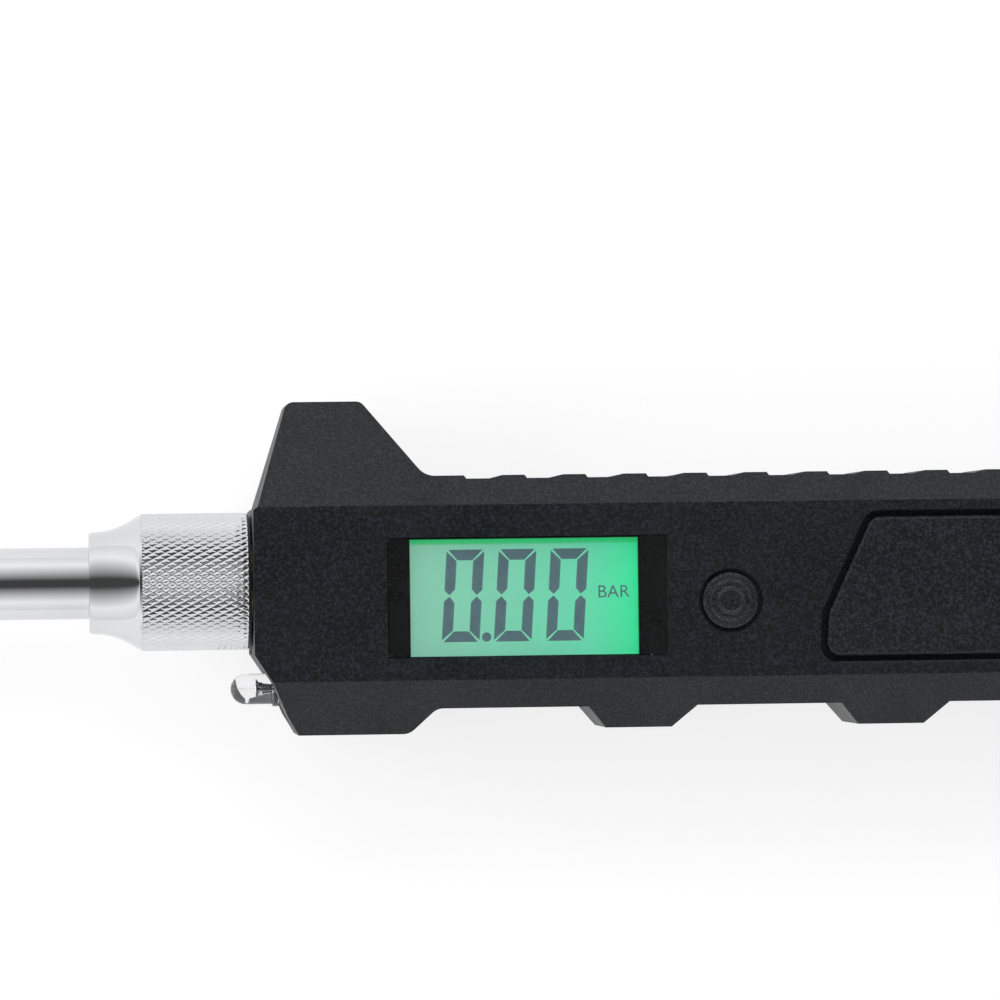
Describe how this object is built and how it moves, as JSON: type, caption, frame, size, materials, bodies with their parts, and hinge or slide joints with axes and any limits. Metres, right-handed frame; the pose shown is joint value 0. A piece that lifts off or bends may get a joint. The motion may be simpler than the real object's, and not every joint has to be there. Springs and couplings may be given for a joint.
{
  "type": "tire pressure gauge",
  "caption": "Handheld digital tire pressure gauge: black grip with lit display, round button and lamp, chrome stem on a knurled nut, dual-mouth chuck.",
  "frame": {"origin": "on the flat back of the housing, under the stem axis, half way along the housing", "axes": "+X from the stem to the end of the handle, +Y towards the tall upper guard, +Z out of the display"},
  "size_m": [0.3199, 0.0541, 0.0286],
  "materials": {
    "black_plastic": "fine-grained matt",
    "door_plastic": "fine-grained matt",
    "inner_plastic": "matt",
    "frame_plastic": "satin white",
    "button_plastic": "satin",
    "clear_window": "clear",
    "display_glass": "glossy",
    "light_guide": "frosted",
    "contact_rubber": "matt",
    "board_green": "solder resist",
    "potting": "glossy resin",
    "clear_lamp": "clear",
    "lead_steel": "tinned",
    "wire_sleeve": "satin",
    "screw_steel": "zinc plated",
    "cell_can": "printed sleeve",
    "spring_steel": "bright",
    "plate_steel": "nickel plated",
    "plain_brass": "machined",
    "sensor_steel": "satin",
    "nut_chrome": "bright, knurled sleeve",
    "tube_chrome": "bright",
    "seal_rubber": "matt",
    "chuck_metal": "satin plated",
    "mouth_brass": "plated",
    "pin_brass": "machined"
  },
  "bodies": {
    "housing": {"front_shell": "black_plastic", "rear_shell": "black_plastic", "housing_screws": "screw_steel", "battery_tray": "inner_plastic", "battery_cells": "cell_can", "left_contact_spring": "spring_steel", "right_contact_spring": "spring_steel", "contact_plates": "plate_steel", "bridge_plate": "plate_steel", "battery_wires": "wire_sleeve", "display_window": "clear_window", "lcd_panel": "display_glass", "backlight_panel": "light_guide", "lcd_frame": "frame_plastic", "zebra_strips": "contact_rubber", "circuit_board": "board_green", "chip_blob": "potting", "board_screws": "screw_steel", "switch_body": "inner_plastic", "led_lamp": "clear_lamp", "led_leads": "lead_steel", "led_wires": "wire_sleeve", "manifold": "plain_brass", "manifold_screws": "screw_steel", "pressure_sensor": "sensor_steel", "sensor_wires": "wire_sleeve"},
    "button": {"button_cap": "button_plastic", "switch_plunger": "inner_plastic"},
    "door": {"battery_door": "door_plastic"},
    "stem": {"stem_collar": "plain_brass", "stem_o_ring": "seal_rubber", "stem_tube": "tube_chrome", "chuck_body": "chuck_metal", "front_nozzle": "mouth_brass", "rear_nozzle": "mouth_brass", "front_washer": "seal_rubber", "rear_washer": "seal_rubber", "front_spring": "spring_steel", "rear_spring": "spring_steel"},
    "slip_washer": {"nut_washer": "plain_brass"},
    "nut": {"coupling_nut": "nut_chrome"},
    "front_poppet": {"front_pin": "pin_brass"},
    "rear_poppet": {"rear_pin": "pin_brass"}
  },
  "joints": [
    {"name": "button_press", "type": "slide", "parent": "housing", "child": "button", "axis": [0, 0, -1], "range_m": [0, 0.0008], "stiffness_N_per_m": 1500, "springref_m": -0.0005},
    {"name": "door_hinge", "type": "hinge", "parent": "housing", "child": "door", "pos_m": [0.0676, 0, 0.0269], "axis": [0, 1, 0], "range_deg": [0, 95]},
    {"name": "stem_swivel", "type": "hinge", "parent": "housing", "child": "stem", "pos_m": [-0.09, 0, 0.014], "axis": [1, 0, 0], "continuous": true},
    {"name": "nut_travel", "type": "slide", "parent": "housing", "child": "slip_washer", "axis": [-1, 0, 0], "range_m": [0, 0.003]},
    {"name": "nut_turn", "type": "hinge", "parent": "slip_washer", "child": "nut", "pos_m": [-0.09, 0, 0.014], "axis": [-1, 0, 0], "range_deg": [0, 1080]},
    {"name": "front_valve", "type": "slide", "parent": "stem", "child": "front_poppet", "axis": [0.7071, 0.7071, 0], "range_m": [0, 0.0015], "stiffness_N_per_m": 300, "springref_m": -0.003, "deforming": ["front_spring"]},
    {"name": "rear_valve", "type": "slide", "parent": "stem", "child": "rear_poppet", "axis": [-0.7071, -0.7071, 0], "range_m": [0, 0.0015], "stiffness_N_per_m": 300, "springref_m": -0.003, "deforming": ["rear_spring"]}
  ],
  "couplings": [
    {"joint": "nut_travel", "follows": "nut_turn", "m_per_rad": 0.00015915}
  ]
}
